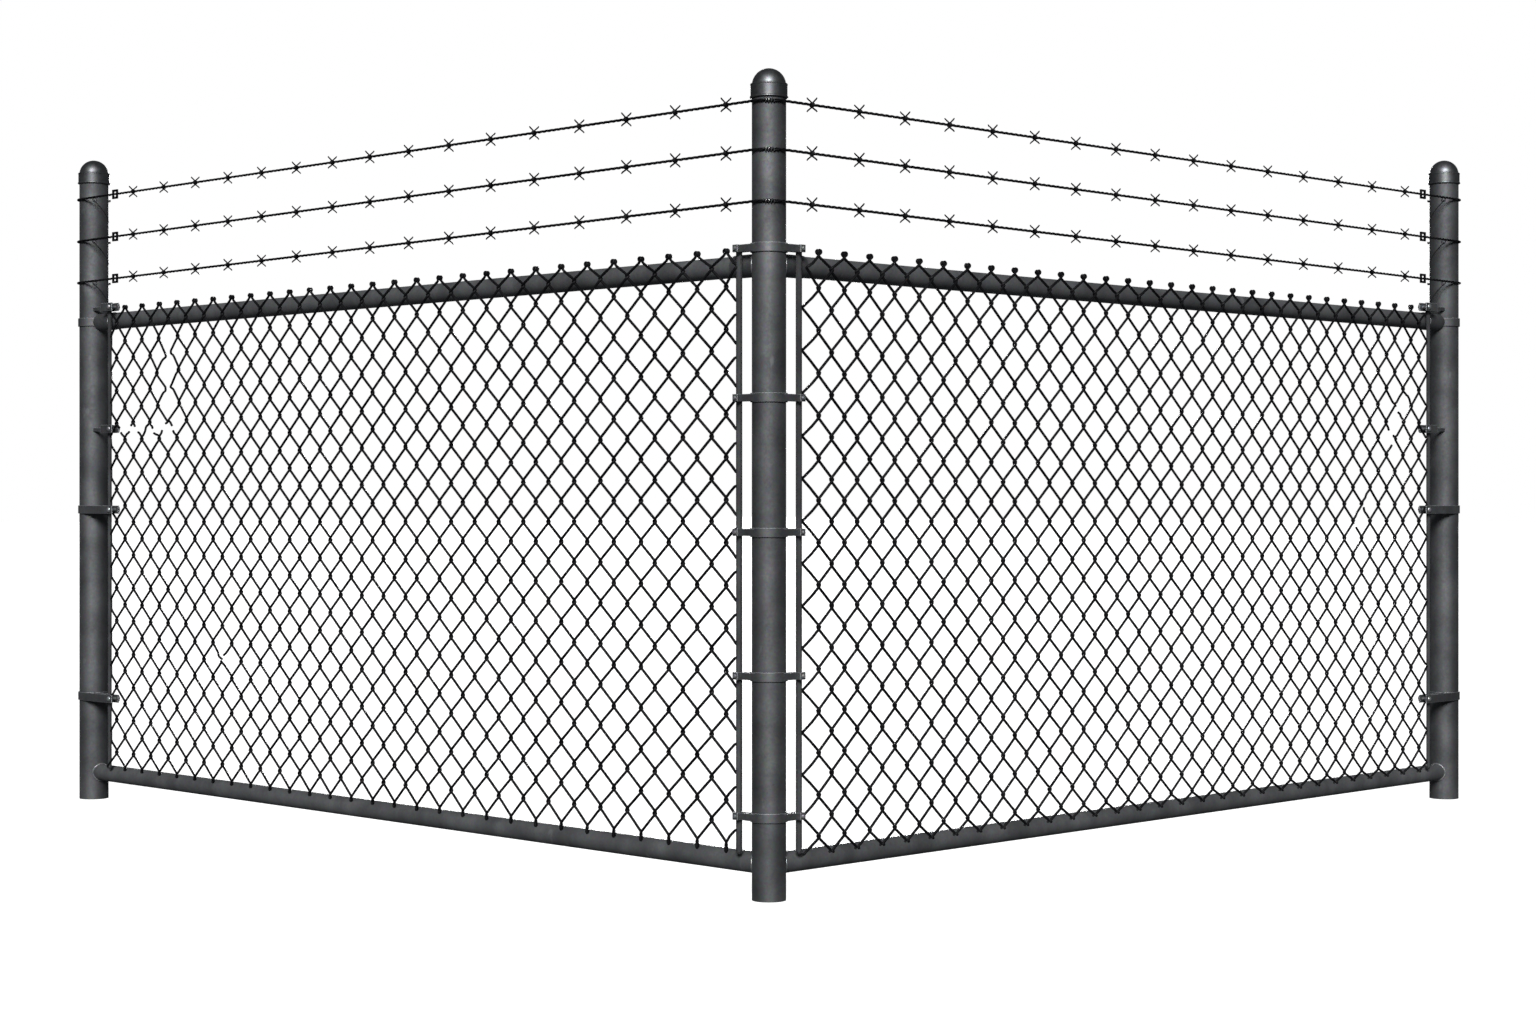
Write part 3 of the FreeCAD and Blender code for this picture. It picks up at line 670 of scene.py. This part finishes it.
def make_fabric(side, weave):
    shape = Shape()
    for number in range(weave.wires):
        for part in weave.lengths(number):
            shape.tube(part, WIRE / 2, WIRE_SIDES)
    if side == "left":
        turn = Matrix.Translation((0, bars_between, 0)) @ Matrix.Rotation(-math.pi / 2, 4, "Z")
        shape.corners = [turn @ corner for corner in shape.corners]
    woven = shape.piece(f"{side}_woven_fabric", fabric_metal,
                        (f"{side}_fabric_corner_half", f"{side}_fabric_end_half"))
    woven.visible_shadow = False


make_fabric("right", Weave(
    "right", wires=59, ends=(16.7 * MM, -7.1 * MM), bulge=(-8.4 * MM, -11.2 * MM),
    rows=(106.6 * MM, 1077.9 * MM, -2.8 * MM), sink=(0, 11.4 * MM), feet=1, foot=-4.5 * MM))
make_fabric("left", Weave(
    "left", wires=57, ends=(-5.3 * MM, 5 * MM), bulge=(-12.3 * MM, 0),
    rows=(93.9 * MM, 1076.5 * MM, 1 * MM), sink=(16.6 * MM, 0), feet=0, foot=1 * MM))


# Barbed wire
def strand_levels(name):
    """A strand's heights at the corner post and at the end posts."""
    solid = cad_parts[f"right_barbed_wire_{name}"].data
    near = [v.co.z for v in solid.vertices if v.co.x < 0]
    far = [v.co.z for v in solid.vertices
           if v.co.x > bay_length - 0.1 * MM and v.co.y < -end_radius]
    return (min(near) + max(near)) / 2, max(far) - STRAND_SOLID_HALF


def strand_height(level, run):
    return level[0] + (level[1] - level[0]) * (run / bay_length)


def strand_out(run):
    return strand_at_corner + (strand_at_end - strand_at_corner) * run / bay_length


def strand_point(side, level, run):
    return bay_point(side, run, strand_out(run), strand_height(level, run))


def make_barb(shape, side, level, run):
    """Two wires wound round the strand, with a point at each of their four ends."""
    centre = strand_point(side, level, run)
    along = bay_point(side, 1, 0, 0)
    out = bay_point(side, 0, 1, 0)
    radius = BARB_BITE * STRAND_RADIUS + BARB_WIRE / 2
    arm = (along + out) * BARB_REACH
    for way in (1, -1):
        tip = arm - UP * (way * BARB_HEIGHT)
        points = [centre - tip, centre - tip * BARB_TAPER]
        for step in range(BARB_STEPS + 1):
            share = step / BARB_STEPS
            angle = way * (BARB_START - BARB_WOUND * share)
            slide = (share - 0.5) * BARB_ADVANCE - way * BARB_APART
            points.append(centre + along * slide
                          + (out * math.cos(angle) + UP * math.sin(angle)) * radius)
        points += [centre + tip * BARB_TAPER, centre + tip]
        widths = [BARB_TIP] + [BARB_WIRE / 2] * (BARB_STEPS + 3) + [BARB_TIP]
        shape.tube(points, widths, BARB_SIDES)


def strand_line(level):
    """Points of a strand's middle from behind the right end post to behind the left one."""
    step = STRAND_LAY / STRAND_STEPS
    halves = []
    for side in SIDES:
        points = []
        bend = CORNER_BEND
        while bend > LEAST_BEND:
            points.append(bay_point(side, -strand_at_corner * math.sin(bend),
                                    strand_at_corner * math.cos(bend), level[0]))
            bend -= step / strand_at_corner
        count = int(bay_length / step)
        points += [strand_point(side, level, bay_length * number / count)
                   for number in range(count + 1)]
        count = int(END_WRAP * strand_at_end / step)
        for number in range(1, count + 1):
            angle = END_WRAP * number / count
            points.append(bay_point(side, bay_length + strand_at_end * math.sin(angle),
                                    strand_at_end * math.cos(angle), level[1]))
        halves.append(points)
    return list(reversed(halves[0])) + halves[1][1:]


def make_barbed_wire(name):
    level = strand_levels(name)
    line = strand_line(level)
    shape = Shape()
    for wire in range(STRAND_WIRES):
        points = []
        travelled = 0.0
        for index, point in enumerate(line):
            ahead = ahead_at(line, index)
            if index:
                travelled += (point - line[index - 1]).length
            flat = ahead.cross(UP).normalized()
            angle = 2 * math.pi * (wire / STRAND_WIRES + travelled / STRAND_LAY)
            away = flat * math.cos(angle) + flat.cross(ahead) * math.sin(angle)
            points.append(point + away * STRAND_OFFSET)
        shape.tube(points, STRAND_WIRE / 2, STRAND_SIDES)
    for side in SIDES:
        for number in range(BARBS):
            share = number / (BARBS - 1)
            run = FIRST_BARB + (bay_length - FIRST_BARB - LAST_BARB_FROM_END) * share
            run += BARB_DRIFT[side] * math.sin(math.pi * share)
            make_barb(shape, side, level, run)
    shape.piece(f"barbed_wire_{name}_both_bays", barb_metal,
                (f"right_barbed_wire_{name}", f"left_barbed_wire_{name}"))


for name in STRANDS:
    make_barbed_wire(name)


# Clamps on the strands, an eye and a loose tail on each end post, and ties on the corner post
def make_clamps(side):
    along = bay_point(side, 1, 0, 0)
    out = bay_point(side, 0, 1, 0)
    half_run, half_out, half_height = CLAMP_HALVES
    shape = Shape()
    for name in STRANDS:
        middle = strand_point(side, strand_levels(name), bay_length - CLAMP_FROM_POST)
        for way in (-1, 1):
            shape.block(middle + UP * (way * (half_height - CLAMP_BAR)),
                        (along * half_run, out * half_out, UP * CLAMP_BAR))
            shape.block(middle + along * (way * (half_run - CLAMP_BAR)),
                        (along * CLAMP_BAR, out * half_out, UP * half_height))
    shape.piece(f"{side}_open_clamps", barb_metal, (f"{side}_wire_clamps",),
                sharp=35)


def make_end_ties(side):
    shape = Shape()

    def on_post(angle, gap):
        reach = end_radius + gap
        return bay_point(side, bay_length - reach * math.sin(angle), reach * math.cos(angle), 0)

    outward = (on_post(TIE_FACING, 1.0) - on_post(TIE_FACING, 0.0)).normalized()
    level = outward.cross(UP)
    for name in STRANDS:
        height = strand_levels(name)[1] + TIE_OVER_STRAND
        low = height - EYE_RADIUS
        centre = on_post(TIE_FACING, EYE_OUT) + UP * height
        eye = [centre + (level * math.cos(turn) + UP * math.sin(turn)) * EYE_RADIUS
               for turn in full_turn(EYE_STEPS)]
        shape.tube(eye, TIE_WIRE / 2, TIE_SIDES)
        stalk = [on_post(TIE_FACING, gap) + UP * low for gap in STALK_GAPS]
        shape.tube(stalk, TIE_WIRE / 2, TIE_SIDES)
        tail = []
        for step in range(TAIL_STEPS + 1):
            share = step / TAIL_STEPS
            gap = TAIL_GAP + TAIL_START * (1 - share) ** 4
            tail.append(on_post(TIE_FACING + TAIL_TURN * share, gap)
                        + UP * (low - TAIL_DROP * share))
        shape.tube(tail, TAIL_WIRE / 2, TIE_SIDES)
    shape.piece(f"{side}_strand_ties", tie_metal)


def make_corner_ties():
    shape = Shape()
    outward = Vector((-1, -1, 0)).normalized()
    level = Vector((1, -1, 0)).normalized()
    radius = STRAND_RADIUS + TIE_WIRE / 2
    for name in STRANDS:
        height = strand_levels(name)[0]
        points = []
        for step in range(CORNER_TIE_STEPS + 1):
            share = step / CORNER_TIE_STEPS
            bend = (share - 0.5) * CORNER_TIE_SPAN
            flat = outward * math.cos(bend) + level * math.sin(bend)
            angle = 2 * math.pi * CORNER_TIE_TURNS * share
            points.append(flat * strand_at_corner + UP * height
                          + (outward * math.cos(angle) + UP * math.sin(angle)) * radius)
        shape.tube(points, TIE_WIRE / 2, CORNER_TIE_SIDES)
    shape.piece("corner_strand_ties", bright_tie_metal)


for side in SIDES:
    make_clamps(side)
    make_end_ties(side)
make_corner_ties()


# Bolts through the bands and clips
def add_bolt(bolts, nuts, side, run, front, height, nut_in_front):
    """A bolt through two ears with a round head on one and a square nut on the other."""
    out = bay_point(side, 0, 1, 0)
    back = bar_out - BACK_EAR
    seat = bay_point(side, run, front, height)
    rear = bay_point(side, run, back, height)
    if not nut_in_front:
        seat, rear, out = rear, seat, -out
    nuts.turned(seat, out, NUT_PROFILE, NUT_SIDES, math.pi / 4)
    end = front - back + SHANK_PAST
    shank = ((SHANK_START[0], 0), (SHANK, SHANK_START[1]), (SHANK, end),
             (SHANK_TIP[0], end + SHANK_TIP[1]))
    bolts.turned(rear - out * SHANK_BACK, out, shank, SHANK_SIDES)
    dome = [(HEAD_RADIUS * math.cos(angle), -HEAD_RISE * math.sin(angle))
            for angle in map(math.radians, HEAD_ANGLES)]
    bolts.turned(rear, out, dome, HEAD_SIDES)


def make_bolts(side):
    bolts = Shape()
    nuts = Shape()
    corner_run = corner_bar - CORNER_BOLT_BEFORE_BAR
    end_run = end_bar - bar_half_width - END_BOLT_BEYOND_BAR
    for number in ("one", "two", "three", "four", "five"):
        low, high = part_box(f"corner_band_{number}")
        add_bolt(bolts, nuts, side, corner_run, -low.y, (low.z + high.z) / 2, True)
    for node in ("end_band_lower", "end_band_upper", "bar_clip_middle", "bar_clip_top"):
        low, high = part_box(f"right_{node}")
        add_bolt(bolts, nuts, side, end_run, -low.y, (low.z + high.z) / 2, False)
    bolts.piece(f"{side}_band_bolts", bolt_metal, sharp=35)
    nuts.piece(f"{side}_band_nuts", fitting_metal, sharp=35)


for side in SIDES:
    make_bolts(side)


# Rolled edges on the caps
def add_roll(shape, axis, radius, height, thick):
    points = [axis + Vector((radius * math.cos(turn), radius * math.sin(turn), height))
              for turn in full_turn(ROLL_STEPS)]
    shape.tube(points, thick, ROLL_SIDES)


for name in ("corner_post", "right_end_post", "left_end_post"):
    low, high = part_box(f"{name}_cap")
    tube_low, tube_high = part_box(name)
    axis = Vector(((tube_low.x + tube_high.x) / 2, (tube_low.y + tube_high.y) / 2, 0))
    tube_radius = (tube_high.x - tube_low.x) / 2
    skirt_radius = (high.x - low.x) / 2
    rolls = Shape()
    add_roll(rolls, axis, tube_radius + DOME_ROLL_OUT, high.z - tube_radius + DOME_ROLL_RISE,
             DOME_ROLL)
    add_roll(rolls, axis, skirt_radius - SKIRT_ROLL_IN, low.z + SKIRT_ROLL_RISE, SKIRT_ROLL)
    rolls.piece(f"{name}_cap_rolls", cap_metal)


# Weld beads where the rails meet the posts
def add_bead(shape, side, run, way, post_radius, rail, height, bead):
    """A bead round a rail's end, on the side of a post that lies towards way."""
    points = []
    widths = []
    around = rail + bead * BEAD_OFF_RAIL
    for step, angle in enumerate(full_turn(BEAD_STEPS)):
        out = around * math.cos(angle)
        reach = math.sqrt((post_radius + bead * BEAD_OFF_POST) ** 2 - out ** 2)
        points.append(bay_point(side, run + way * reach, out, height + around * math.sin(angle)))
        widths.append(bead * (1 + BEAD_RIPPLE * math.sin(step * BEAD_RIPPLE_STEP)))
    shape.tube(points, widths, BEAD_SIDES)


for side in SIDES:
    beads = Shape()
    add_bead(beads, side, 0, 1, corner_radius, rail_radius, bottom_rail_height, BEAD)
    add_bead(beads, side, bay_length, -1, end_radius, rail_radius, bottom_rail_height, BEAD)
    add_bead(beads, side, 0, 1, corner_radius, rail_radius + CUP_BEAD_OUT, top_rail_height,
             CUP_BEAD)
    beads.piece(f"{side}_weld_beads", bead_metal)


# Camera at the photograph's viewing angle, level, in front of the corner
camera_data = bpy.data.cameras.new("camera")
camera_data.lens = 62.625
camera_data.sensor_width = 36
camera_data.shift_x = -0.00065
camera_data.shift_y = -0.01068
camera = bpy.data.objects.new("camera", camera_data)
camera.location = (-3.3095, -3.3095, 0.7084)
camera.rotation_euler = (math.pi / 2, 0, -math.pi / 4)
bpy.context.scene.collection.objects.link(camera)
bpy.context.scene.camera = camera

# Pale floor
FLOOR_REACH = 60
floor_mesh = bpy.data.meshes.new("floor")
floor_corners = [(x * FLOOR_REACH, y * FLOOR_REACH, 0)
                 for x, y in ((-1, -1), (1, -1), (1, 1), (-1, 1))]
floor_mesh.from_pydata(floor_corners, [], [(0, 1, 2, 3)])
floor_material = bpy.data.materials.new("pale_floor")
floor_material.use_nodes = True
floor_shader = floor_material.node_tree.nodes["Principled BSDF"]
floor_shader.inputs["Base Color"].default_value = (0.3, 0.3, 0.3, 1)
floor_shader.inputs["Roughness"].default_value = 0.9
floor_shader.inputs["Specular IOR Level"].default_value = 0.1
floor_shader.inputs["Emission Color"].default_value = (1, 1, 1, 1)
floor_shader.inputs["Emission Strength"].default_value = 0.97
floor_mesh.materials.append(floor_material)
floor = bpy.data.objects.new("floor", floor_mesh)
bpy.context.scene.collection.objects.link(floor)
floor.visible_glossy = False
floor.visible_diffuse = False

# Soft studio light: a dim surround, a white backdrop for the camera, and two broad suns
world = bpy.data.worlds.new("studio")
bpy.context.scene.world = world
world.use_nodes = True
world_nodes = world.node_tree.nodes
world_links = world.node_tree.links
surround = world_nodes["Background"]
surround.inputs["Color"].default_value = (0.9, 0.95, 1.0, 1)
surround.inputs["Strength"].default_value = 0.07
backdrop = world_nodes.new("ShaderNodeBackground")
backdrop.inputs["Color"].default_value = (1, 1, 1, 1)
backdrop.inputs["Strength"].default_value = 1.0
seen = world_nodes.new("ShaderNodeLightPath")
choose = world_nodes.new("ShaderNodeMixShader")
world_links.new(seen.outputs["Is Camera Ray"], choose.inputs["Fac"])
world_links.new(surround.outputs["Background"], choose.inputs[1])
world_links.new(backdrop.outputs["Background"], choose.inputs[2])
world_links.new(choose.outputs["Shader"], world_nodes["World Output"].inputs["Surface"])


def add_sun(name, energy, spread, way):
    """A sun that shines towards way, with its spread in degrees."""
    sun_data = bpy.data.lights.new(name, "SUN")
    sun_data.energy = energy
    sun_data.angle = math.radians(spread)
    sun = bpy.data.objects.new(name, sun_data)
    sun.rotation_mode = "QUATERNION"
    sun.rotation_quaternion = Vector(way).to_track_quat("-Z", "Y")
    bpy.context.scene.collection.objects.link(sun)


add_sun("key", energy=4.2, spread=22, way=(0.56, 0.5, -0.43))
add_sun("back", energy=2.6, spread=12, way=(-0.55, -0.55, -0.07))

bpy.context.scene.view_settings.view_transform = "Standard"
